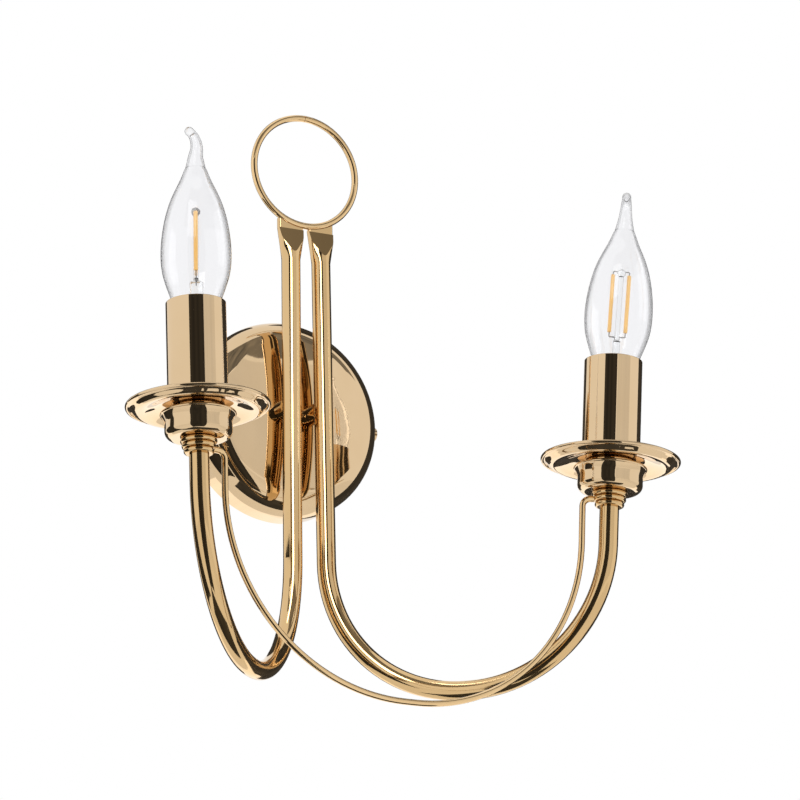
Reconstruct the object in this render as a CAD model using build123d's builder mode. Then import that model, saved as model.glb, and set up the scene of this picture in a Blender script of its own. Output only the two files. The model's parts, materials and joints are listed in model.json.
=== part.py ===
from build123d import *

import os
from math import cos, radians, sin, sqrt, tan

# Double arm wall sconce: two bent tube arms on a domed wall plate, a ring where they
# meet, a candle light on each arm and a swag of wire between the candles.
#
# Frame: +X to the right along the wall, +Y into the wall, +Z up. The origin is the middle
# of the wall plate's back face, so the wall is the plane Y = 0 and the light stands out
# towards -Y. Millimetres.

# ---- wall plate (canopy) ----
canopy_radius = 53.2
canopy_depth = 28.0
canopy_face_radius = 235.0  # the front is part of a large ball
canopy_shoulder = 15.0  # rounding between the front and the side wall
canopy_wall = 1.2

# ---- bracket on the wall, inside the wall plate ----
bracket_thickness = 2.0
bracket_width = 20.0
bracket_ear_gap = 0.35  # between an ear and the wall plate's inner wall
ear_depth = 12.0
slot_spacing = 66.0
slot_length = 12.0
slot_width = 5.0
supply_hole_radius = 6.0
tab_width = 38.0
tab_drop = 34.0  # how far the tab reaches below the middle
bracket_corner = 3.0
ear_bend = 1.5
side_screw_y = -8.0
side_screw_radius = 2.0
side_screw_head_radius = 3.5
side_screw_head_height = 2.4
side_screw_length = 7.0
screw_slot_width = 0.9
thread_clearance = 0.03
hole_clearance = 0.15

# ---- arm tubes ----
tube_radius = 5.0
tube_wall = 1.0
tube_axis_y = -38.0
leg_spread_low = 9.8  # half the distance between the rear legs at the bends
leg_spread_high = 8.9  # the same where their tops are flattened
arm_angle = 45.0  # each arm's plane against the wall, degrees
arm_span = 150.6  # rear leg to riser
bend_radius = 74.0
bend_centre_height = -81.6
riser_lean = {"left": -0.8, "right": 3.0}  # degrees outwards
riser_sideways = 1.2  # degrees, away from the other arm

# ---- flattened tube tops and the ring on them ----
crimp_start_height = 80.0
crimp_apex_height = 82.5
crimp_end_height = 97.0
lug_width = 14.4
lug_thickness = 3.4
lug_offset = 0.7  # towards the wall from the tube's axis
ring_height = 129.8
ring_radius = 30.0
ring_stock = 1.75
ring_seam = 0.25
braze_gap = 0.05

# ---- stubs between the arms and the wall plate ----
stub_radius = 5.3
stub_saddle_depth = 2.6
stub_thread_radius = 4.0
stub_bore_radius = 3.0
stub_end_y = -20.5
nut_flats = 13.0
nut_height = 4.0

# ---- candle: heights are measured along its axis from the drip pan's widest circle ----
pan_rise = 39.4  # the pan's widest circle above the bend's centre
collar_bottom = -24.7
collar_top = -16.8
collar_bead_radii = (7.6, 8.5, 9.2)
cup_wall = 1.2
cup_body_radius = 16.8
cup_lip_radius = 19.0
cup_lip_height = -4.4
cup_neck_radius = 11.9
cup_bead_half_height = 1.3
cup_corner = 3.8
cup_flare_height = 4.9  # where the body starts to widen, below the lip
cup_flare = 7.0
cup_lip_roll = 0.7
pan_radius = 36.0
pan_sheet = 1.0
pan_flat_radius = 15.5
pan_trough = ((22.0, 1.0), (28.0, 2.7), (31.2, 2.4), (33.2, 0.6))  # radius, depth
pan_rim_bead = 1.0
sleeve_radius = 15.0
sleeve_wall = 0.8
sleeve_top = 53.3
nipple_radius = 5.0
nipple_bore = 3.4
nipple_top = 9.0
lock_nut_flats = 14.0
lock_nut_height = 3.0
lock_nut_gap = 0.1  # between the lock nut and the lampholder

# ---- lampholder ----
holder_radius = 13.4
holder_top = 41.0
holder_base = 6.0
holder_chamber_radius = 9.8
holder_chamber_height = 9.0
holder_floor = 2.0
holder_skirt_clearance = 1.2  # round the bulb cap's flared skirt
shell_radius = 7.75
shell_wall = 0.5
shell_height = 16.7
contact_radius = 2.8
contact_rivet_radius = 1.4
contact_gap = 0.3
contact_rivet_length = 1.5  # under the socket's floor
terminal_size = (3.4, 6.0, 5.0)
terminal_offset = 6.2

# ---- bulb: small screw cap, bent flame tip ----
# degrees outwards and sideways: the bulbs stand askew in their sockets
bulb_lean = {"left": (0.0, -0.9), "right": (2.5, 0.0)}
cap_radius = 6.93
cap_wall = 0.43
cap_bottom = 27.6
cap_top = 42.5
cap_skirt_radius = 7.9
cap_skirt_height = 2.6
pad_bottom = 23.4
pad_radius = 2.4
pad_height = 1.2
insulator_height = 29.0
glass_neck_radius = 6.2
glass_neck_bottom = 29.4
glass_wall = 0.7
glass_shape = (  # height, radius
    (42.5, 7.0),
    (47.0, 9.2),
    (53.3, 11.8),
    (60.0, 14.2),
    (68.0, 16.6),
    (77.5, 17.6),
    (88.0, 17.0),
    (97.0, 15.5),
    (106.0, 12.9),
    (113.0, 9.9),
    (118.5, 7.4),
    (123.6, 5.4),
    (129.0, 4.0),
)
glass_tip_shape = (  # height, radius, sideways shift, tilt in degrees
    (129.0, 4.0, 0.0, 0.0),
    (132.5, 3.4, -0.4, -5.0),
    (136.0, 3.0, -0.6, 4.0),
    (139.3, 2.65, 0.1, 19.0),
    (142.0, 2.35, 1.4, 34.0),
    (143.8, 2.1, 3.0, 45.0),
)
glass_bead_radius = 2.35
stem_foot_radius = 5.3
stem_neck_radius = 3.1
stem_neck_height = 46.0
pinch_size = (7.0, 3.7)
pinch_bottom = 50.0
pinch_top = 64.5
rod_radius = 1.3
rod_bead_radius = 2.2
rod_bead_height = 101.0
filament_radius = 1.0
filament_bottom = 69.0
filament_top = 100.0
filament_spacing = 8.4
support_radius = 0.3
support_root_offset = 1.0  # from the stem's axis
support_root_depth = 2.0  # sunk in the pinch
support_bead_depth = 0.6  # sunk in the rod's bead
support_foot_height = 66.5
support_head_height = 101.8
tip_azimuth = {"left": 152.0, "right": 62.0}  # which way each bent tip points

# ---- swag wire ----
wire_radius = 1.6
wire_inset = {"left": 15.6, "right": 13.7}  # from each riser's axis, at the hooks
wire_foot_inset = {"left": 15.7, "right": 20.0}  # the same, where the sides end below
wire_setback = 3.4  # from the risers' axes to the wall's side
wire_arc_height = -80.4
wire_hook_radius = 4.2
wire_joint_height = -20.7  # on the candle's axis, at the collar's middle bead
riser_gap = 0.1  # between the riser's end and the nipple in the collar

# ---- cables and terminals ----
cable_radius = 1.8
cable_corner = 6.0
cable_drop_y = -8.0
cable_end_height = 14.0
block_depth = 12.0
block_height = 16.0
block_width = 30.0
block_middle = -22.0
block_screw_radius = 1.5
pole_radius = 2.2
block_insert_wall = 0.6
pole_screw_radius = 1.4
pole_screw_recess = 1.0
block_screw_head_radius = 2.8
block_screw_head_height = 1.8
block_screw_recess = 4.0
wire_entry = 3.0
earth_screw_x = 16.0
earth_screw_radius = 2.0
earth_washer_radius = 4.5
earth_washer_thickness = 0.8
earth_head_radius = 3.5
earth_head_height = 2.6

SIDES = {"left": -1, "right": 1}


def leg_point(side, height):
    """Point on the axis of an arm's rear leg at this height."""
    climb = (height - bend_centre_height) / (crimp_start_height - bend_centre_height)
    spread = leg_spread_low + (leg_spread_high - leg_spread_low) * climb
    return Vector(side * spread, tube_axis_y, height)


def leg_plane(side, height):
    """Plane square to the rear leg, its local Y pointing to the wall."""
    along = leg_point(side, height + 1) - leg_point(side, height)
    return Plane(leg_point(side, height), x_dir=Vector(1, 0, 0), z_dir=along.normalized())


def arm_outwards(side):
    """Level direction from the rear leg to the riser."""
    return Vector(side * cos(radians(arm_angle)), -sin(radians(arm_angle)), 0)


def leaning(name, outwards, sideways):
    """Upward direction that leans outwards and away from the other arm, in degrees."""
    angle = radians(arm_angle)
    beside = Vector(SIDES[name] * sin(angle), cos(angle), 0)
    lean = arm_outwards(SIDES[name]) * tan(radians(outwards)) + beside * tan(radians(sideways))
    return (lean + Vector(0, 0, 1)).normalized()


def candle_direction(name):
    """Direction of a riser and of the candle on it."""
    return leaning(name, riser_lean[name], riser_sideways)


def bulb_direction(name):
    outwards, sideways = bulb_lean[name]
    return leaning(name, riser_lean[name] + outwards, riser_sideways + sideways)


def candle_point(name, height=0.0):
    """Point on a candle's axis, measured from the pan's widest circle."""
    side = SIDES[name]
    root = leg_point(side, bend_centre_height) + arm_outwards(side) * arm_span
    return root + candle_direction(name) * (pan_rise + height)


def candle_axis(name):
    return Axis(candle_point(name), candle_direction(name))


def bulb_point(name, height=0.0):
    """Point on a bulb's axis, which crosses the candle's halfway up the cap's thread."""
    middle = (cap_bottom + socket_floor + shell_height) / 2
    return candle_point(name, middle) + bulb_direction(name) * (height - middle)


def bulb_axis(name):
    return Axis(bulb_point(name), bulb_direction(name))


def profile_plane(axis):
    """Plane through this axis: local X is the radius, local Y the height."""
    direction = Vector(axis.direction)
    radial = Vector(0, 1, 0).cross(direction).normalized()
    return Plane(axis.position, x_dir=radial, z_dir=radial.cross(direction))


def square_plane(origin, direction, azimuth):
    """Plane square to this direction, its local X turned to this azimuth."""
    wanted = Vector(cos(radians(azimuth)), sin(radians(azimuth)), 0)
    across = direction.cross(wanted)
    return Plane(origin, x_dir=across.cross(direction), z_dir=direction)


def candle_plane(name, height, azimuth=0.0):
    return square_plane(candle_point(name, height), candle_direction(name), azimuth)


def bulb_plane(name, height, azimuth=0.0):
    return square_plane(bulb_point(name, height), bulb_direction(name), azimuth)


def arm_corners(name):
    """The two corners that the arm's path is rounded at, rear one first."""
    side = SIDES[name]
    lowest = bend_centre_height - bend_radius - 1.0
    rear = leg_point(side, lowest)
    fall = (candle_point(name).Z - lowest) / candle_direction(name).Z
    return rear, candle_point(name, -fall)


def save(part, name):
    part.label = name
    export_step(part, f"parts/{name}.step")


def dome(inset):
    """Outline of half the wall plate, this far inside its outer surface."""
    radius = canopy_radius - inset
    depth = canopy_depth - inset
    face = canopy_face_radius - inset
    edge = depth - (face - sqrt(face**2 - radius**2))
    with BuildSketch() as half:
        with BuildLine():
            Line((0, 0), (radius, 0))
            Line((radius, 0), (radius, -edge))
            RadiusArc((radius, -edge), (0, -depth), face)
            Line((0, -depth), (0, 0))
        make_face()
        corner = half.vertices().sort_by(Axis.X)[-2:].sort_by(Axis.Y)[0]
        fillet(corner, canopy_shoulder - inset)
    return half.sketch


os.makedirs("parts", exist_ok=True)

stub_x = {name: leg_point(side, 0).X for name, side in SIDES.items()}
canopy_front_y = -canopy_depth + canopy_face_radius
canopy_front_y -= sqrt(canopy_face_radius**2 - (leg_spread_high - stub_radius) ** 2)

block_screw_spots = [(x / 2, block_middle) for x in stub_x.values()]

# The wall plate: a spun dome, open at the back, drilled for the stubs and the side screws.
with BuildPart() as canopy:
    with BuildSketch():
        add(dome(0))
    revolve(axis=Axis.Y)
    with BuildSketch():
        add(dome(canopy_wall))
    revolve(axis=Axis.Y, mode=Mode.SUBTRACT)
    with BuildSketch(Plane.XZ):
        with Locations([(x, 0) for x in stub_x.values()]):
            Circle(stub_thread_radius + hole_clearance)
    extrude(amount=canopy_depth + 1, mode=Mode.SUBTRACT)
    with BuildSketch(Plane.YZ):
        with Locations((side_screw_y, 0)):
            Circle(side_screw_radius + hole_clearance)
    extrude(amount=canopy_radius + 1, both=True, mode=Mode.SUBTRACT)
save(canopy.part, "canopy")

# The bracket: a strip with two slots for the wall screws, a hole for the supply cable, a tab
# that carries the terminal block, and an ear at each end for the wall plate's side screws.
canopy_inner = canopy_radius - canopy_wall
ear_x = sqrt(canopy_inner**2 - (bracket_width / 2) ** 2) - bracket_ear_gap
with BuildPart() as bracket:
    with BuildSketch(Plane.XZ) as strip:
        Rectangle(2 * ear_x, bracket_width)
        with Locations((0, -tab_drop / 2)):
            Rectangle(tab_width, tab_drop)
        inner_corners = strip.vertices().group_by(Axis.Y)[1].sort_by(Axis.X)[1:3]
        fillet(inner_corners, bracket_corner)
        fillet(strip.vertices().group_by(Axis.Y)[0], bracket_corner)
        with GridLocations(slot_spacing, 1, 2, 1):
            SlotOverall(slot_length, slot_width, mode=Mode.SUBTRACT)
        Circle(supply_hole_radius, mode=Mode.SUBTRACT)
        with Locations((earth_screw_x, 0)):
            Circle(earth_screw_radius + thread_clearance, mode=Mode.SUBTRACT)
        with Locations(block_screw_spots):
            Circle(block_screw_radius + thread_clearance, mode=Mode.SUBTRACT)
    extrude(amount=bracket_thickness)
    ear_middle = ear_x - bracket_thickness / 2
    with BuildSketch(Plane.XZ):
        with Locations((ear_middle, 0), (-ear_middle, 0)):
            Rectangle(bracket_thickness, bracket_width)
    extrude(amount=ear_depth)
    bends = bracket.edges().filter_by(Axis.Z).filter_by_position(Axis.Y, -0.1, 0.1)
    fillet(bends.filter_by(lambda e: abs(abs(e.center().X) - ear_x) < 0.1), ear_bend)
    tips = bracket.edges().filter_by(Axis.X).filter_by_position(
        Axis.Y, -ear_depth - 0.1, -ear_depth + 0.1
    )
    fillet(tips, bracket_corner)
    with BuildSketch(Plane.YZ):
        with Locations((side_screw_y, 0)):
            Circle(side_screw_radius + thread_clearance)
    extrude(amount=canopy_radius, both=True, mode=Mode.SUBTRACT)
save(bracket.part, "bracket")

# Two slotted screws hold the wall plate on the ears.
with BuildPart() as side_screws:
    for side in SIDES.values():
        outwards = Plane(
            (side * canopy_radius, side_screw_y, 0), x_dir=(0, 1, 0), z_dir=(side, 0, 0)
        )
        with BuildSketch(outwards):
            Circle(side_screw_head_radius)
        extrude(amount=side_screw_head_height)
        with BuildSketch(outwards):
            Circle(side_screw_radius)
        extrude(amount=-side_screw_length)
        with BuildSketch(outwards.offset(side_screw_head_height)):
            Rectangle(screw_slot_width, 2 * side_screw_head_radius)
        extrude(amount=-side_screw_head_height / 3, mode=Mode.SUBTRACT)
save(side_screws.part, "side_screws")

# ---- the arms ----
for name, side in SIDES.items():
    riser_top = wire_joint_height - riser_gap
    rear_corner, front_corner = arm_corners(name)

    # The tube: rear leg, half circle, riser; the leg's top is flattened into a lug that is
    # coped to the ring, and the rear wall is drilled where the stub stands.
    with BuildPart() as arm:
        with BuildLine() as arm_path:
            FilletPolyline(
                leg_point(side, crimp_start_height),
                rear_corner,
                front_corner,
                candle_point(name, riser_top),
                radius=bend_radius,
            )
        start = Plane(arm_path.line @ 0, z_dir=arm_path.line % 0)
        with BuildSketch(start):
            Circle(tube_radius)
            Circle(tube_radius - tube_wall, mode=Mode.SUBTRACT)
        sweep()
        with BuildSketch(leg_plane(side, crimp_start_height)):
            Circle(tube_radius)
        top = Plane(leg_point(side, crimp_end_height), x_dir=(1, 0, 0), z_dir=(0, 0, 1))
        crush = tube_radius - lug_offset - lug_thickness / 2
        with BuildSketch(top):
            with Locations((0, lug_offset - crush / 2)):
                RectangleRounded(lug_width, lug_thickness + crush, lug_thickness / 3)
        loft()
        lug_front = tube_axis_y + lug_offset - lug_thickness / 2
        with BuildSketch(Plane.YZ.offset(leg_point(side, 0).X)):
            with BuildLine():
                Polyline(
                    (tube_axis_y - tube_radius, crimp_apex_height),
                    (lug_front, crimp_end_height),
                    (lug_front, crimp_end_height + 1),
                    (lug_front - 3 * tube_radius, crimp_end_height + 1),
                    (lug_front - 3 * tube_radius, crimp_apex_height),
                    close=True,
                )
            make_face()
        extrude(amount=lug_width, both=True, mode=Mode.SUBTRACT)
        with BuildSketch(top):
            with Locations((0, lug_offset)):
                RectangleRounded(lug_width, lug_thickness, lug_thickness / 3)
        extrude(amount=ring_height - crimp_end_height)
        with BuildSketch(Plane.XZ):
            with Locations((0, ring_height)):
                Circle(ring_radius + ring_stock + braze_gap)
        extrude(amount=-2 * tube_axis_y, mode=Mode.SUBTRACT)
        with BuildSketch(Plane.XZ):
            with Locations((stub_x[name], 0)):
                Circle(stub_bore_radius)
        extrude(amount=-tube_axis_y, mode=Mode.SUBTRACT)
    save(arm.part, f"arm_{name}")

    # The stub: a collar saddled on the tube, with a hollow threaded end through the plate.
    with BuildPart() as stub:
        saddle_y = tube_axis_y + stub_saddle_depth
        with BuildSketch(Plane.XZ.offset(-canopy_front_y)):
            with Locations((stub_x[name], 0)):
                Circle(stub_radius)
        extrude(amount=canopy_front_y - saddle_y)
        with BuildSketch(Plane.XZ.offset(-stub_end_y)):
            with Locations((stub_x[name], 0)):
                Circle(stub_thread_radius)
        extrude(amount=stub_end_y - canopy_front_y)
        with BuildSketch(leg_plane(side, -2 * stub_radius)):
            Circle(tube_radius + braze_gap)
        extrude(amount=4 * stub_radius, mode=Mode.SUBTRACT)
        with BuildSketch(Plane.XZ):
            with Locations((stub_x[name], 0)):
                Circle(stub_bore_radius)
        extrude(amount=-tube_axis_y, mode=Mode.SUBTRACT)
    save(stub.part, f"stub_{name}")

# A hexagon nut on each stub clamps the arms to the wall plate from inside.
inner_face = canopy_face_radius - canopy_wall
nut_reach = stub_x["right"] + nut_flats / sqrt(3)
nut_front_y = -(canopy_depth - canopy_wall) + inner_face - sqrt(inner_face**2 - nut_reach**2)
with BuildPart() as stub_nuts:
    with BuildSketch(Plane.XZ.offset(-nut_front_y)):
        with Locations([(x, 0) for x in stub_x.values()]):
            RegularPolygon(nut_flats / 2, 6, major_radius=False)
            Circle(stub_thread_radius + thread_clearance, mode=Mode.SUBTRACT)
    extrude(amount=-nut_height)
save(stub_nuts.part, "stub_nuts")

# The ring: one round bar bent and butted, brazed to both lugs.
with BuildPart() as ring:
    ring_axis = Axis((0, tube_axis_y, ring_height), (0, 1, 0))
    section = Plane((0, tube_axis_y, ring_height), x_dir=(0, 0, 1), z_dir=(1, 0, 0))
    with BuildSketch(section):
        with Locations((ring_radius, 0)):
            Circle(ring_stock)
    revolve(axis=ring_axis, revolution_arc=360 - ring_seam / radians(ring_radius))
save(ring.part, "ring")

# ---- the swag wire: hooked into both collars, hanging in a half circle ----
with BuildPart() as swag_wire:
    hook = {}
    centres = {name: candle_point(name, wire_joint_height) for name in SIDES}
    foot_x = {n: SIDES[n] * (abs(c.X) - wire_foot_inset[n]) for n, c in centres.items()}
    wire_half_width = (foot_x["right"] - foot_x["left"]) / 2
    wire_plane_y = (centres["right"].Y + centres["left"].Y) / 2 + wire_setback
    for name, side in SIDES.items():
        centre = centres[name]
        corner = Vector(centre.X - side * wire_inset[name], wire_plane_y, centre.Z)
        towards = (corner - centre).normalized()
        joint = centre + towards * (collar_bead_radii[1] + braze_gap)
        foot = Vector(foot_x[name], wire_plane_y, wire_arc_height - wire_half_width)
        hook[name] = (joint, corner, foot)
    with BuildLine() as wire_path:
        FilletPolyline(
            *hook["left"],
            *reversed(hook["right"]),
            radius=[
                wire_hook_radius,
                wire_half_width - 0.5,
                wire_half_width - 0.5,
                wire_hook_radius,
            ],
        )
    with BuildSketch(Plane(wire_path.line @ 0, z_dir=wire_path.line % 0)):
        Circle(wire_radius)
    sweep()
save(swag_wire.part, "swag_wire")

# ---- the candles ----
bead_pitch = (collar_top - collar_bottom) / len(collar_bead_radii)
bore_radius = nipple_radius + thread_clearance
nipple_hole_radius = nipple_radius + hole_clearance
pan_under = -pan_sheet / 2
pan_over = pan_sheet / 2
holder_bottom = pan_over + lock_nut_height + lock_nut_gap
chamber_bottom = holder_bottom + holder_base
chamber_top = chamber_bottom + holder_chamber_height
socket_floor = chamber_top + holder_floor

for name, side in SIDES.items():
    spin = candle_axis(name)
    profile = profile_plane(spin)

    # The collar: three stacked beads, brazed on the riser and threaded for the nipple.
    with BuildPart() as collar:
        with BuildSketch(profile):
            for index, radius in enumerate(collar_bead_radii):
                middle = collar_bottom + (index + 0.5) * bead_pitch
                with Locations((0, middle)):
                    Rectangle(radius - bead_pitch / 2, bead_pitch, align=(Align.MIN, Align.CENTER))
                with Locations((radius - bead_pitch / 2, middle)):
                    Circle(bead_pitch / 2)
        revolve(axis=spin)
        with BuildSketch(candle_plane(name, collar_bottom)):
            Circle(bore_radius)
        extrude(amount=collar_top - collar_bottom, mode=Mode.SUBTRACT)
    save(collar.part, f"collar_{name}")

    # The cup: turned, with a flared lip and a bead on its neck that the pan rests on.
    with BuildPart() as cup:
        with BuildSketch(profile):
            with BuildLine():
                Polyline(
                    (nipple_hole_radius, collar_top + cup_wall),
                    (nipple_hole_radius, collar_top),
                    (cup_body_radius - cup_corner, collar_top),
                )
                RadiusArc(
                    (cup_body_radius - cup_corner, collar_top),
                    (cup_body_radius, collar_top + cup_corner),
                    -cup_corner,
                )
                Line(
                    (cup_body_radius, collar_top + cup_corner),
                    (cup_body_radius, cup_lip_height - cup_flare_height),
                )
                RadiusArc(
                    (cup_body_radius, cup_lip_height - cup_flare_height),
                    (cup_lip_radius - cup_lip_roll, cup_lip_height - cup_lip_roll),
                    cup_flare,
                )
                ThreePointArc(
                    (cup_lip_radius - cup_lip_roll, cup_lip_height - cup_lip_roll),
                    (cup_lip_radius, cup_lip_height),
                    (cup_lip_radius - cup_lip_roll, cup_lip_height + cup_lip_roll),
                )
                Polyline(
                    (cup_lip_radius - cup_lip_roll, cup_lip_height + cup_lip_roll),
                    (cup_neck_radius, cup_lip_height + cup_lip_roll),
                    (cup_neck_radius, pan_under - 2 * cup_bead_half_height),
                )
                RadiusArc(
                    (cup_neck_radius, pan_under - 2 * cup_bead_half_height),
                    (cup_neck_radius, pan_under),
                    -cup_bead_half_height,
                )
                Polyline(
                    (cup_neck_radius, pan_under),
                    (cup_neck_radius - cup_wall, pan_under),
                    (cup_neck_radius - cup_wall, cup_lip_height - cup_wall),
                    (cup_body_radius - cup_wall, cup_lip_height - cup_flare_height),
                    (cup_body_radius - cup_wall, collar_top + cup_corner),
                    (cup_body_radius - cup_corner, collar_top + cup_wall),
                    (nipple_hole_radius, collar_top + cup_wall),
                )
            make_face()
        revolve(axis=spin)
    save(cup.part, f"cup_{name}")

    # The drip pan: flat under the sleeve, a shallow trough, and a rolled rim.
    with BuildPart() as pan:
        with BuildSketch(profile):
            with BuildLine():
                Line((nipple_hole_radius, pan_over), (nipple_hole_radius, pan_under))
                Line((nipple_hole_radius, pan_under), (pan_flat_radius, pan_under))
                Spline(
                    (pan_flat_radius, pan_under),
                    *[(radius, pan_under - depth) for radius, depth in pan_trough],
                    (pan_radius - pan_rim_bead, pan_under),
                    tangents=((1, 0), (1, 0.1)),
                )
                Line((pan_radius - pan_rim_bead, pan_under), (pan_radius - pan_rim_bead, pan_over))
                Spline(
                    (pan_radius - pan_rim_bead, pan_over),
                    *[(radius - pan_sheet / 4, pan_over - depth) for radius, depth in pan_trough[::-1]],
                    (pan_flat_radius, pan_over),
                    tangents=((-1, -0.1), (-1, 0)),
                )
                Line((pan_flat_radius, pan_over), (nipple_hole_radius, pan_over))
            make_face()
            with Locations((pan_radius - pan_rim_bead, 0)):
                Circle(pan_rim_bead)
        revolve(axis=spin)
    save(pan.part, f"pan_{name}")

    # The sleeve: a plain tube standing on the pan round the lampholder.
    with BuildPart() as sleeve:
        with BuildSketch(candle_plane(name, pan_over)):
            Circle(sleeve_radius)
            Circle(sleeve_radius - sleeve_wall, mode=Mode.SUBTRACT)
        extrude(amount=sleeve_top - pan_over)
        mouth = sleeve.faces().sort_by(spin)[-1]
        fillet(mouth.edges(), sleeve_wall / 3)
    save(sleeve.part, f"sleeve_{name}")

    # The nipple: a threaded tube from the collar up into the lampholder.
    with BuildPart() as nipple:
        with BuildSketch(candle_plane(name, wire_joint_height)):
            Circle(nipple_radius)
            Circle(nipple_bore, mode=Mode.SUBTRACT)
        extrude(amount=nipple_top - wire_joint_height)
        chamfer(nipple.edges().group_by(spin)[-1], 0.4)
    save(nipple.part, f"nipple_{name}")

    # The lock nut clamps the pan and the cup on the collar.
    with BuildPart() as lock_nut:
        with BuildSketch(candle_plane(name, pan_over)):
            RegularPolygon(lock_nut_flats / 2, 6, major_radius=False)
            Circle(nipple_radius + thread_clearance, mode=Mode.SUBTRACT)
        extrude(amount=lock_nut_height)
    save(lock_nut.part, f"lock_nut_{name}")

    # The lampholder's body: a threaded base, a wiring chamber, a floor and the socket.
    with BuildPart() as holder:
        with BuildSketch(candle_plane(name, holder_bottom)):
            Circle(holder_radius)
        extrude(amount=holder_top - holder_bottom)
        fillet(holder.edges().group_by(spin)[-1], 1.2)
        with BuildSketch(candle_plane(name, holder_bottom)):
            Circle(nipple_radius + thread_clearance)
        extrude(amount=holder_base, mode=Mode.SUBTRACT)
        with BuildSketch(candle_plane(name, chamber_bottom)):
            Circle(holder_chamber_radius)
        extrude(amount=holder_chamber_height, mode=Mode.SUBTRACT)
        with BuildSketch(candle_plane(name, socket_floor)):
            Circle(shell_radius + thread_clearance)
        extrude(amount=holder_top - socket_floor, mode=Mode.SUBTRACT)
        with BuildSketch(candle_plane(name, socket_floor + shell_height)):
            Circle(cap_skirt_radius + holder_skirt_clearance)
        extrude(amount=holder_top - socket_floor - shell_height, mode=Mode.SUBTRACT)
        with BuildSketch(candle_plane(name, chamber_top)):
            Circle(contact_rivet_radius + thread_clearance)
        extrude(amount=holder_floor, mode=Mode.SUBTRACT)
    save(holder.part, f"lampholder_{name}")

    # The socket's threaded shell.
    with BuildPart() as shell:
        with BuildSketch(candle_plane(name, socket_floor)):
            Circle(shell_radius)
            Circle(shell_radius - shell_wall, mode=Mode.SUBTRACT)
        extrude(amount=shell_height)
    save(shell.part, f"socket_shell_{name}")

    # The centre contact: riveted through the floor, its button just under the bulb's pad.
    with BuildPart() as contact:
        rivet_end = chamber_top - contact_rivet_length
        with BuildSketch(candle_plane(name, rivet_end)):
            Circle(contact_rivet_radius)
        extrude(amount=socket_floor - rivet_end)
        with BuildSketch(candle_plane(name, socket_floor)):
            Circle(contact_radius)
        extrude(amount=pad_bottom - contact_gap - socket_floor)
        fillet(contact.edges().group_by(spin)[-1], 0.6)
        with BuildSketch(candle_plane(name, rivet_end)):
            Circle(contact_rivet_radius * 2)
        extrude(amount=contact_rivet_length - braze_gap)
    save(contact.part, f"socket_contact_{name}")

    # Two terminals hang under the floor, in the wiring chamber.
    with BuildPart() as terminals:
        with BuildSketch(candle_plane(name, chamber_top - terminal_size[2])):
            with Locations((terminal_offset, 0), (-terminal_offset, 0)):
                Rectangle(terminal_size[0], terminal_size[1])
        extrude(amount=terminal_size[2])
    save(terminals.part, f"holder_terminals_{name}")

    # ---- the bulb ----
    spin = bulb_axis(name)
    profile = profile_plane(spin)

    # The pad under the cap, which carries the lift of the unscrewing.
    with BuildPart() as pad:
        with BuildSketch(bulb_plane(name, pad_bottom)):
            Circle(pad_radius)
        extrude(amount=pad_height)
        fillet(pad.edges().group_by(spin)[0], 0.6)
    save(pad.part, f"bulb_pad_{name}")

    with BuildPart() as insulator:
        with BuildSketch(profile):
            with BuildLine():
                Polyline(
                    (0, pad_bottom + pad_height),
                    (pad_radius + 0.8, pad_bottom + pad_height),
                    (cap_radius - cap_wall - thread_clearance, cap_bottom),
                    (cap_radius - cap_wall - thread_clearance, insulator_height),
                    (0, insulator_height),
                    close=True,
                )
            make_face()
        revolve(axis=spin)
    save(insulator.part, f"bulb_insulator_{name}")

    # The screw cap: a thin shell with a flared skirt.
    with BuildPart() as cap:
        with BuildSketch(profile):
            with BuildLine():
                Polyline(
                    (cap_radius - cap_wall, cap_bottom),
                    (cap_radius, cap_bottom),
                    (cap_radius, cap_top - cap_skirt_height),
                    (cap_skirt_radius, cap_top - cap_skirt_height / 3),
                    (cap_skirt_radius, cap_top),
                    (cap_skirt_radius - cap_wall, cap_top),
                    (cap_skirt_radius - cap_wall, cap_top - cap_skirt_height / 3),
                    (cap_radius - cap_wall, cap_top - cap_skirt_height),
                    close=True,
                )
            make_face()
        revolve(axis=spin)
    save(cap.part, f"bulb_cap_{name}")

    # The glass: a flame with an even wall, drawn out into a bent tip that ends in a bead.
    layers = []
    for inset in (0, glass_wall):
        outline = [(radius - inset, height) for height, radius in glass_shape]
        neck = glass_neck_radius - inset
        with BuildPart() as layer:
            with BuildSketch(profile):
                with BuildLine():
                    flame = Spline(
                        (neck, cap_top - cap_skirt_height),
                        *outline,
                        tangents=((0, 1), (-0.22, 1)),
                    )
                    Polyline(
                        flame @ 0,
                        (neck, glass_neck_bottom - inset),
                        (0, glass_neck_bottom - inset),
                        (0, glass_shape[-1][0]),
                        flame @ 1,
                    )
                make_face()
            revolve(axis=spin)
            sections = glass_tip_shape if inset == 0 else glass_tip_shape[:-1]
            for height, radius, shift, tilt in sections:
                level = bulb_plane(name, height, tip_azimuth[name])
                lean = radians(tilt)
                section_plane = Plane(
                    level.origin + level.x_dir * shift,
                    x_dir=level.x_dir * cos(lean) - level.z_dir * sin(lean),
                    z_dir=level.z_dir * cos(lean) + level.x_dir * sin(lean),
                )
                with BuildSketch(section_plane):
                    Circle(radius - inset)
            loft()
        layers.append((layer.part, section_plane.origin))
    with BuildPart() as glass:
        add(layers[0][0])
        with Locations(layers[0][1]):
            Sphere(glass_bead_radius)
        add(layers[1][0], mode=Mode.SUBTRACT)
    save(glass.part, f"bulb_glass_{name}")

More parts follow.
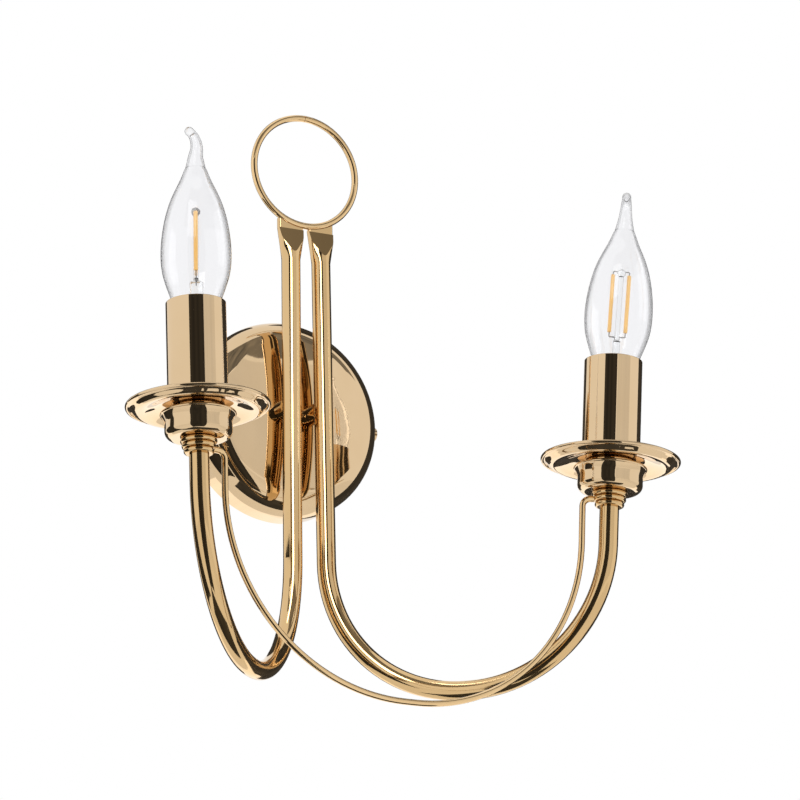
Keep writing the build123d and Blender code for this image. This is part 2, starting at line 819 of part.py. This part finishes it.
    # The glass stem: a foot in the neck, a pinch that holds the leads, a rod and its bead.
    with BuildPart() as stem:
        with BuildSketch(profile):
            with BuildLine():
                Polyline(
                    (0, insulator_height + 0.4),
                    (stem_foot_radius, insulator_height + 0.4),
                    (stem_foot_radius, insulator_height + 2.4),
                    (stem_neck_radius, stem_neck_height),
                    (stem_neck_radius, pinch_bottom + 2),
                    (0, pinch_bottom + 2),
                    close=True,
                )
            make_face()
        revolve(axis=spin)
        with BuildSketch(bulb_plane(name, pinch_bottom, tip_azimuth[name])):
            RectangleRounded(*pinch_size, pinch_size[1] / 2.2)
        extrude(amount=pinch_top - pinch_bottom)
        fillet(stem.edges().group_by(spin)[-1], 1.2)
        with BuildSketch(bulb_plane(name, pinch_top - 0.5)):
            Circle(rod_radius)
        extrude(amount=rod_bead_height - pinch_top + 0.5)
        with Locations(bulb_point(name, rod_bead_height)):
            Sphere(rod_bead_radius)
    save(stem.part, f"bulb_stem_{name}")

    # Two glowing rods beside the stem, square to the way the tip bends.
    with BuildPart() as filaments:
        with BuildSketch(bulb_plane(name, filament_bottom, tip_azimuth[name])):
            with Locations((0, filament_spacing / 2), (0, -filament_spacing / 2)):
                Circle(filament_radius)
        extrude(amount=filament_top - filament_bottom)
        fillet(filaments.edges(), 0.4)
    save(filaments.part, f"bulb_filaments_{name}")

    # Wires from the pinch to the rods' feet, and one through the bead to their heads.
    with BuildPart() as supports:
        across = bulb_plane(name, 0, tip_azimuth[name])
        up = across.z_dir
        for way in (1, -1):
            out = across.y_dir * way
            root = across.origin + out * support_root_offset
            foot = across.origin + out * filament_spacing / 2
            runs = (
                (root + up * (pinch_top - support_root_depth), root + up * support_foot_height,
                 foot + up * support_foot_height, foot + up * filament_bottom),
                (across.origin + out * (rod_bead_radius - support_bead_depth) + up * support_head_height,
                 foot + up * support_head_height, foot + up * filament_top),
            )
            for points in runs:
                with BuildLine() as lead:
                    FilletPolyline(*points, radius=2 * support_radius)
                with BuildSketch(Plane(lead.line @ 0, z_dir=lead.line % 0)):
                    Circle(support_radius)
                sweep(path=lead.line)
    save(supports.part, f"bulb_supports_{name}")

    # ---- the cable inside the arm ----
    rear_corner, front_corner = arm_corners(name)
    with BuildPart() as cable:
        with BuildLine() as cable_path:
            FilletPolyline(
                candle_point(name, cable_end_height),
                front_corner,
                rear_corner,
                leg_point(side, 0),
                Vector(stub_x[name], cable_drop_y, 0),
                Vector(stub_x[name], cable_drop_y, block_middle + block_height / 2 - wire_entry),
                radius=[bend_radius, bend_radius, cable_corner, cable_corner],
            )
        with BuildSketch(Plane(cable_path.line @ 0, z_dir=cable_path.line % 0)):
            Circle(cable_radius)
        sweep()
    save(cable.part, f"cable_{name}")
    cable_length = sum(edge.length for edge in cable_path.edges())
    print(name, "cable radii", bend_radius, cable_corner, "length", round(cable_length, 1))

# ---- the terminal block inside the wall plate ----
poles = (stub_x["left"], 0, stub_x["right"])
block_front_y = -bracket_thickness - block_depth
pole_screw_spots = [
    (x, block_middle + way * block_height / 5) for x in poles for way in (1, -1)
]
block_back = Plane.XZ.offset(bracket_thickness)
block_front = Plane.XZ.offset(bracket_thickness + block_depth)
with BuildPart() as terminal_block:
    with BuildSketch(block_back):
        with Locations((0, block_middle)):
            RectangleRounded(block_width, block_height, 1.5)
    extrude(amount=block_depth)
    with BuildSketch(Plane.XY.offset(block_middle - block_height / 2)):
        with Locations([(x, cable_drop_y) for x in poles]):
            Circle(pole_radius)
    extrude(amount=block_height, mode=Mode.SUBTRACT)
    with BuildSketch(block_front):
        with Locations(pole_screw_spots):
            Circle(pole_screw_radius + hole_clearance)
    extrude(amount=cable_drop_y - block_front_y, both=True, mode=Mode.SUBTRACT)
    with BuildSketch(block_front):
        with Locations(block_screw_spots):
            Circle(block_screw_radius + hole_clearance)
    extrude(amount=-block_depth, mode=Mode.SUBTRACT)
    with BuildSketch(block_front):
        with Locations(block_screw_spots):
            Circle(block_screw_head_radius + hole_clearance)
    extrude(amount=-block_screw_recess, mode=Mode.SUBTRACT)
save(terminal_block.part, "terminal_block")

# A brass tube in each pole, and two clamping screws to a pole.
with BuildPart() as block_inserts:
    with BuildSketch(Plane.XY.offset(block_middle - block_height / 2 + wire_entry)):
        with Locations([(x, cable_drop_y) for x in poles]):
            Circle(pole_radius - thread_clearance)
            Circle(pole_radius - block_insert_wall, mode=Mode.SUBTRACT)
    extrude(amount=block_height - 2 * wire_entry)
    with BuildSketch(block_front):
        with Locations(pole_screw_spots):
            Circle(pole_screw_radius + thread_clearance)
    extrude(amount=block_front_y - cable_drop_y, mode=Mode.SUBTRACT)
save(block_inserts.part, "block_inserts")

with BuildPart() as pole_screws:
    head_plane = block_front.offset(-pole_screw_recess)
    with BuildSketch(head_plane):
        with Locations(pole_screw_spots):
            Circle(pole_screw_radius)
    extrude(amount=-(cable_drop_y - block_front_y - pole_screw_recess))
    with BuildSketch(head_plane):
        with Locations(pole_screw_spots):
            Rectangle(2 * pole_screw_radius + 1, screw_slot_width / 2)
    extrude(amount=-screw_slot_width / 2, mode=Mode.SUBTRACT)
save(pole_screws.part, "pole_screws")

# Two screws hold the block on the bracket's tab.
with BuildPart() as block_screws:
    seat = block_front.offset(-block_screw_recess)
    with BuildSketch(seat):
        with Locations(block_screw_spots):
            Circle(block_screw_head_radius)
    extrude(amount=block_screw_head_height)
    with BuildSketch(seat):
        with Locations(block_screw_spots):
            Circle(block_screw_radius)
    extrude(amount=-(block_depth - block_screw_recess + bracket_thickness))
    with BuildSketch(seat.offset(block_screw_head_height)):
        with Locations(block_screw_spots):
            Rectangle(2 * block_screw_head_radius, screw_slot_width)
    extrude(amount=-block_screw_head_height / 2, mode=Mode.SUBTRACT)
save(block_screws.part, "block_screws")

# The earth terminal: a screw and its washer on the bracket.
with BuildPart() as earth_screw:
    washer_top = Plane.XZ.offset(bracket_thickness + earth_washer_thickness)
    with BuildSketch(washer_top):
        with Locations((earth_screw_x, 0)):
            Circle(earth_head_radius)
    extrude(amount=earth_head_height)
    with BuildSketch(washer_top):
        with Locations((earth_screw_x, 0)):
            Circle(earth_screw_radius)
    extrude(amount=-(bracket_thickness + earth_washer_thickness))
    with BuildSketch(washer_top.offset(earth_head_height)):
        with Locations((earth_screw_x, 0)):
            Rectangle(2 * earth_head_radius, screw_slot_width)
    extrude(amount=-earth_head_height / 2, mode=Mode.SUBTRACT)
save(earth_screw.part, "earth_screw")

with BuildPart() as earth_washer:
    with BuildSketch(Plane.XZ.offset(bracket_thickness)):
        with Locations((earth_screw_x, 0)):
            Circle(earth_washer_radius)
            Circle(earth_screw_radius + hole_clearance, mode=Mode.SUBTRACT)
    extrude(amount=earth_washer_thickness)
save(earth_washer.part, "earth_washer")
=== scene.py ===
import json
import math

import bpy
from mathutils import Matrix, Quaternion, Vector

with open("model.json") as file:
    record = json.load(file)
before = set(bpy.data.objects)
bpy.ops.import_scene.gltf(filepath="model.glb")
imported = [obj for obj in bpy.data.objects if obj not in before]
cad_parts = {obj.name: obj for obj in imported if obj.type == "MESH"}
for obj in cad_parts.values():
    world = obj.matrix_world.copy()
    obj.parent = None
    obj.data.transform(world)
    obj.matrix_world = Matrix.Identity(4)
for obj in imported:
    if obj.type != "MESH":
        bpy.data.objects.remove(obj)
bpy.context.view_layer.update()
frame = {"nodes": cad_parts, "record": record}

nodes = frame["nodes"]
scene = bpy.context.scene
scene.view_settings.view_transform = "Standard"

# The camera is the photograph's: low and to the left, looking slightly up.
CAMERA = Vector((-1.169776, -2.255704, -0.743406))
AIM = Vector((0.034919, -0.074465, -0.001175))
ROLL = math.radians(-1.0336)
LENS = 225.586
SENSOR = 36.0
CLIP_END = 50.0

# Metals: light and deep colour, roughness, height of the waves and, for drawn tube, the
# stretch of the grain.
METALS = {
    "polished_brass": ((0.735, 0.545, 0.335), (0.715, 0.525, 0.315), 0.035, 0.02),
    "tube_brass": ((0.72, 0.50, 0.255), (0.69, 0.47, 0.23), 0.075, 0.004, (1, 1, 0.15)),
    "wire_brass": ((0.84, 0.60, 0.325), (0.81, 0.565, 0.295), 0.055, 0.004),
    "plain_brass": ((0.62, 0.44, 0.18), (0.52, 0.35, 0.13), 0.22, 0.05),
    "zinc_steel": ((0.60, 0.61, 0.62), (0.54, 0.56, 0.58), 0.30, 0.008),
    "bulb_nickel": ((0.68, 0.66, 0.63), (0.58, 0.56, 0.53), 0.18, 0.05),
    "bulb_solder": ((0.50, 0.50, 0.49), (0.38, 0.38, 0.38), 0.4, 0.3),
    "lead_wire": ((0.42, 0.41, 0.40), (0.30, 0.29, 0.28), 0.25, 0.05),
}
# Plastics: light and deep colour, roughness and, for the filaments, a painted glow: emission that
# brightens them though they are no lamp.
PLASTICS = {
    "holder_plastic": ((0.78, 0.77, 0.74), (0.72, 0.71, 0.68), 0.5),
    "block_plastic": ((0.80, 0.78, 0.72), (0.74, 0.72, 0.66), 0.3),
    "cable_sheath": ((0.75, 0.74, 0.70), (0.68, 0.67, 0.63), 0.5),
    "bulb_vitrite": ((0.012, 0.012, 0.015), (0.03, 0.03, 0.035), 0.15),
    "filament_phosphor": ((1.0, 0.68, 0.28), (0.98, 0.55, 0.12), 0.5, 0.3),
}
# Glasses: tint, and where the painted shade of the dark outline starts at the foot and at the tip.
GLASSES = {
    "clear_glass": ((0.95, 0.95, 0.96), 0.50, 0.15),
    "stem_glass": ((0.97, 0.98, 0.98), 0.30, 0.30),
}
# Nodes whose brass isn't that of the spun pieces: warmer on the arms and what joins them,
# paler on ring and wire.
DRAWN = {
    "arm_left": "tube_brass", "arm_right": "tube_brass",
    "stub_left": "tube_brass", "stub_right": "tube_brass",
    "collar_left": "tube_brass", "collar_right": "tube_brass",
    "ring": "wire_brass", "swag_wire": "wire_brass",
}
GLASS_IOR = 1.5
# Colour of the shade painted on the glass where it faces away, as its dark outline.
PAINTED_EDGE_SHADE = (0.03, 0.03, 0.035)
# Colour of the painted glow: emission that stands in for light on the filaments, which are no lamp.
FILAMENT_PAINTED_GLOW = (1.0, 0.55, 0.15, 1)

# Levels of the world, the floor and the cards, where 1 is white.
WHITE = 1.0
WORLD_LIGHT = 0.72
WORLD_COLOUR = (1.0, 0.99, 0.975, 1)
FLOOR_GLOW = 0.25
FLOOR_COLOUR = (0.86, 0.86, 0.85, 1)
FLOOR_ROUGHNESS = 0.8
FLOOR_HEIGHT = -1.6
FLOOR_REACH = 8.0
BLACK = 0.035
DARK = 0.05
CARD_STEPS = 8


# ---- objects and meshes ----
def add(name, data):
    obj = bpy.data.objects.new(name, data)
    scene.collection.objects.link(obj)
    return obj


def level_mesh(name, left, right, near, away, height):
    """A level rectangle."""
    corners = [(left, near, height), (right, near, height), (right, away, height), (left, away, height)]
    mesh = bpy.data.meshes.new(name)
    mesh.from_pydata(corners, [], [(0, 1, 2, 3)])
    return mesh


def curved_mesh(name, azimuth, span, low, high, reach):
    """An upright arc round the object, over the given angles in degrees."""
    verts = []
    for step in range(CARD_STEPS + 1):
        angle = math.radians(azimuth - span / 2 + span * step / CARD_STEPS)
        for edge in (low, high):
            height = reach * math.tan(math.radians(edge))
            verts.append((reach * math.sin(angle), -reach * math.cos(angle), height))
    faces = [(2 * k, 2 * k + 2, 2 * k + 3, 2 * k + 1) for k in range(CARD_STEPS)]
    mesh = bpy.data.meshes.new(name)
    mesh.from_pydata(verts, [], faces)
    return mesh


# ---- shader nodes ----
def new_material(name):
    """A material of one Principled shader."""
    mat = bpy.data.materials.new(name)
    mat.use_nodes = True
    tree = mat.node_tree
    tree.nodes.clear()
    out = tree.nodes.new("ShaderNodeOutputMaterial")
    shader = tree.nodes.new("ShaderNodeBsdfPrincipled")
    tree.links.new(shader.outputs[0], out.inputs["Surface"])
    return mat, tree, shader


def place(tree, scale=(1, 1, 1)):
    """Object coordinates, stretched by the scale."""
    coords = tree.nodes.new("ShaderNodeTexCoord")
    mapping = tree.nodes.new("ShaderNodeMapping")
    mapping.inputs["Scale"].default_value = scale
    tree.links.new(coords.outputs["Object"], mapping.inputs["Vector"])
    return mapping.outputs["Vector"]


def noise(tree, vector, scale, detail=3.0):
    node = tree.nodes.new("ShaderNodeTexNoise")
    node.inputs["Scale"].default_value = scale
    node.inputs["Detail"].default_value = detail
    tree.links.new(vector, node.inputs["Vector"])
    return node.outputs["Fac"]


def spread(tree, value, low, high, start=0.3, end=0.7):
    """Maps the value's range from start to end onto low to high."""
    node = tree.nodes.new("ShaderNodeMapRange")
    node.inputs["From Min"].default_value = start
    node.inputs["From Max"].default_value = end
    node.inputs["To Min"].default_value = low
    node.inputs["To Max"].default_value = high
    tree.links.new(value, node.inputs["Value"])
    return node.outputs["Result"]


def mix(tree, factor, first, second):
    node = tree.nodes.new("ShaderNodeMix")
    node.data_type = "RGBA"
    node.inputs["A"].default_value = (*first, 1)
    node.inputs["B"].default_value = (*second, 1)
    tree.links.new(factor, node.inputs["Factor"])
    return node.outputs["Result"]


def mottle(tree, shader, vector, scale, light, deep):
    """Varies the base colour between light and deep in soft patches."""
    patches = spread(tree, noise(tree, vector, scale), 0, 1)
    tree.links.new(mix(tree, patches, light, deep), shader.inputs["Base Color"])


def bump(tree, shader, height, strength, distance):
    node = tree.nodes.new("ShaderNodeBump")
    node.inputs["Strength"].default_value = strength
    node.inputs["Distance"].default_value = distance
    tree.links.new(height, node.inputs["Height"])
    tree.links.new(node.outputs["Normal"], shader.inputs["Normal"])


# ---- materials ----
def metal(name, light, deep, rough, wave, grain=(1, 1, 1)):
    """Metal with a little variation in colour and polish, and shallow waves."""
    mat, tree, shader = new_material(name)
    vector = place(tree, grain)
    mottle(tree, shader, vector, 60.0, light, deep)
    shader.inputs["Metallic"].default_value = 1.0
    polish = spread(tree, noise(tree, vector, 900.0, detail=4.0), rough * 0.85, rough * 1.2)
    tree.links.new(polish, shader.inputs["Roughness"])
    bump(tree, shader, noise(tree, vector, 120.0, detail=2.0), wave, distance=0.0004)
    return mat


def plastic(name, light, deep, rough, glow=None):
    """Moulded plastic with a fine grain; glow is painted light, an emission that brightens it though it
    is no lamp.
    """
    mat, tree, shader = new_material(name)
    vector = place(tree)
    mottle(tree, shader, vector, 30.0, light, deep)
    shader.inputs["Roughness"].default_value = rough
    # Painted light: emission that brightens the part though it is no lamp.
    if glow:
        shader.inputs["Emission Color"].default_value = FILAMENT_PAINTED_GLOW
        shader.inputs["Emission Strength"].default_value = glow
    bump(tree, shader, noise(tree, vector, 400.0), strength=0.15, distance=0.0002)
    return mat


def glass(name, tint, foot, tip):
    """Clear glass with shade painted on as a dark outline, which starts where it faces away by foot and
    by tip.
    """
    mat, tree, shader = new_material(name)
    coords = tree.nodes.new("ShaderNodeTexCoord")
    split = tree.nodes.new("ShaderNodeSeparateXYZ")
    tree.links.new(coords.outputs["Generated"], split.inputs[0])
    start = spread(tree, split.outputs["Z"], foot, tip, start=0.70, end=0.95)
    # Painted shade: the tint darkens to the outline colour where the glass faces away, standing in for
    # the dark edges that reflection and refraction give glass.
    edge = tree.nodes.new("ShaderNodeLayerWeight")
    edge.inputs["Blend"].default_value = 0.5
    dark = tree.nodes.new("ShaderNodeMapRange")
    tree.links.new(edge.outputs["Facing"], dark.inputs["Value"])
    tree.links.new(start, dark.inputs["From Min"])
    painted_outline = mix(tree, dark.outputs["Result"], tint, PAINTED_EDGE_SHADE)
    tree.links.new(painted_outline, shader.inputs["Base Color"])
    shader.inputs["Transmission Weight"].default_value = 1.0
    shader.inputs["IOR"].default_value = GLASS_IOR
    smears = spread(tree, noise(tree, place(tree), 40.0), 0.0, 0.02)
    tree.links.new(smears, shader.inputs["Roughness"])
    return mat


def seen_as_background(tree):
    """1 where the camera, a reflection or glass looks at it, 0 where it only lights."""
    path = tree.nodes.new("ShaderNodeLightPath")
    total = path.outputs["Is Camera Ray"]
    for kind in ("Is Glossy Ray", "Is Transmission Ray"):
        either = tree.nodes.new("ShaderNodeMath")
        either.operation = "MAXIMUM"
        tree.links.new(total, either.inputs[0])
        tree.links.new(path.outputs[kind], either.inputs[1])
        total = either.outputs[0]
    return total


# ---- the studio's pieces ----
def make_camera():
    lens = bpy.data.cameras.new("camera")
    lens.lens = LENS
    lens.sensor_width = SENSOR
    lens.clip_end = CLIP_END
    camera = add("camera", lens)
    camera.location = CAMERA
    turn = (AIM - CAMERA).normalized().to_track_quat("-Z", "Y")
    camera.rotation_mode = "QUATERNION"
    camera.rotation_quaternion = turn @ Quaternion((0, 0, 1), ROLL)
    scene.camera = camera


def make_world():
    """White to look at, softer as a light."""
    world = bpy.data.worlds.new("studio")
    scene.world = world
    world.use_nodes = True
    tree = world.node_tree
    tree.nodes.clear()
    out = tree.nodes.new("ShaderNodeOutputWorld")
    soft = tree.nodes.new("ShaderNodeBackground")
    soft.inputs["Color"].default_value = WORLD_COLOUR
    soft.inputs["Strength"].default_value = WORLD_LIGHT
    white = tree.nodes.new("ShaderNodeBackground")
    white.inputs["Color"].default_value = (1, 1, 1, 1)
    white.inputs["Strength"].default_value = WHITE
    blend = tree.nodes.new("ShaderNodeMixShader")
    tree.links.new(seen_as_background(tree), blend.inputs[0])
    tree.links.new(soft.outputs[0], blend.inputs[1])
    tree.links.new(white.outputs[0], blend.inputs[2])
    tree.links.new(blend.outputs[0], out.inputs["Surface"])


def make_floor():
    """A pale floor that takes shadows and glows a little where it is looked at."""
    mat, tree, shader = new_material("pale_floor")
    shader.inputs["Base Color"].default_value = FLOOR_COLOUR
    shader.inputs["Roughness"].default_value = FLOOR_ROUGHNESS
    glow = tree.nodes.new("ShaderNodeEmission")
    glow.inputs["Strength"].default_value = FLOOR_GLOW
    lit = tree.nodes.new("ShaderNodeAddShader")
    tree.links.new(shader.outputs[0], lit.inputs[0])
    tree.links.new(glow.outputs[0], lit.inputs[1])
    blend = tree.nodes.new("ShaderNodeMixShader")
    tree.links.new(seen_as_background(tree), blend.inputs[0])
    tree.links.new(shader.outputs[0], blend.inputs[1])
    tree.links.new(lit.outputs[0], blend.inputs[2])
    out = next(n for n in tree.nodes if n.type == "OUTPUT_MATERIAL")
    tree.links.new(blend.outputs[0], out.inputs["Surface"])
    mesh = level_mesh("floor", -FLOOR_REACH, FLOOR_REACH, -FLOOR_REACH, FLOOR_REACH, FLOOR_HEIGHT)
    mesh.materials.append(mat)
    add("floor", mesh)


def card(mesh, level, uneven=0.4):
    """Makes a mesh a card that is seen in polished surfaces only, uneven in tone."""
    mat = bpy.data.materials.new(mesh.name)
    mat.use_nodes = True
    tree = mat.node_tree
    tree.nodes.clear()
    end = tree.nodes.new("ShaderNodeOutputMaterial")
    glow = tree.nodes.new("ShaderNodeEmission")
    glow.inputs["Strength"].default_value = level
    patches = spread(tree, noise(tree, place(tree, (3, 3, 0.6)), 1.5), 0, 1)
    bright = (1 + uneven, 1 + uneven * 0.8, 1 + uneven * 0.5)
    dim = (1 - uneven,) * 3
    tree.links.new(mix(tree, patches, bright, dim), glow.inputs["Color"])
    tree.links.new(glow.outputs[0], end.inputs["Surface"])
    mesh.materials.append(mat)
    obj = add(mesh.name, mesh)
    obj.visible_camera = False
    obj.visible_diffuse = False
    obj.visible_transmission = False
    obj.visible_shadow = False


def flag(name, azimuth, span, low, high, level, reach=1.5, uneven=0.4):
    card(curved_mesh("flag_" + name, azimuth, span, low, high, reach), level, uneven)


def lamp(name, spot, size, power):
    """A soft square lamp aimed at the object, not seen in reflections."""
    data = bpy.data.lights.new(name, "AREA")
    data.size = size
    data.energy = power
    obj = add(name, data)
    obj.location = spot
    away = Vector(spot) - AIM
    obj.rotation_mode = "QUATERNION"
    obj.rotation_quaternion = away.to_track_quat("Z", "Y")
    obj.visible_glossy = False


def strip(name, spot, width, height, power, receivers):
    """A narrow upright lamp that faces the wall and lights only the given nodes."""
    data = bpy.data.lights.new(name, "AREA")
    data.shape = "RECTANGLE"
    data.size = width
    data.size_y = height
    data.energy = power
    obj = add(name, data)
    obj.location = spot
    obj.rotation_euler = (math.radians(90.0), 0.0, 0.0)
    lit = bpy.data.collections.new(name)
    for node in receivers:
        lit.objects.link(nodes[node])
    obj.light_linking.receiver_collection = lit


# ---- the object's looks ----
make_camera()
looks = {name: metal(name, *values) for name, values in METALS.items()}
looks.update({name: plastic(name, *values) for name, values in PLASTICS.items()})
looks.update({name: glass(name, *values) for name, values in GLASSES.items()})
for part in frame["record"]["subparts"]:
    node = part["node"]
    slots = nodes[node].data.materials
    slots.clear()
    slots.append(looks[DRAWN.get(node, part["material_slot"])])

# ---- the studio: white all round, a pale floor, cards for the reflections, soft lamps ----
make_world()
make_floor()
flag("front", azimuth=-28.0, span=46.0, low=-57.0, high=30.0, level=BLACK, reach=1.0)
flag("near", azimuth=-84.0, span=56.0, low=-50.0, high=-5.0, level=BLACK, reach=0.22)
flag("upper", azimuth=0.0, span=130.0, low=30.0, high=64.0, level=0.22)
flag("grey", azimuth=18.0, span=46.0, low=-8.0, high=29.0, level=0.82, uneven=0.06)
flag("right", azimuth=105.5, span=45.0, low=-30.0, high=60.0, level=DARK)
flag("right_near", azimuth=137.0, span=18.0, low=-20.0, high=60.0, level=DARK)
flag("left", azimuth=186.0, span=20.0, low=-20.0, high=60.0, level=0.06)
flag("left_near", azimuth=168.0, span=16.0, low=-20.0, high=60.0, level=DARK)
flag("far", azimuth=152.0, span=100.0, low=-38.0, high=-10.0, level=1.4, reach=1.8, uneven=0.05)
card(level_mesh("flag_below", left=-0.33, right=0.33, near=-0.33, away=0.08, height=-0.6), DARK)

lamp("key", spot=(-1.6, -1.8, 1.9), size=1.4, power=14.0)
lamp("fill", spot=(2.2, -1.2, 1.0), size=1.6, power=8.0)
strip("leg_light", spot=(-0.04, -0.115, 0.02), width=0.03, height=0.27, power=0.13,
      receivers=("arm_left", "arm_right"))
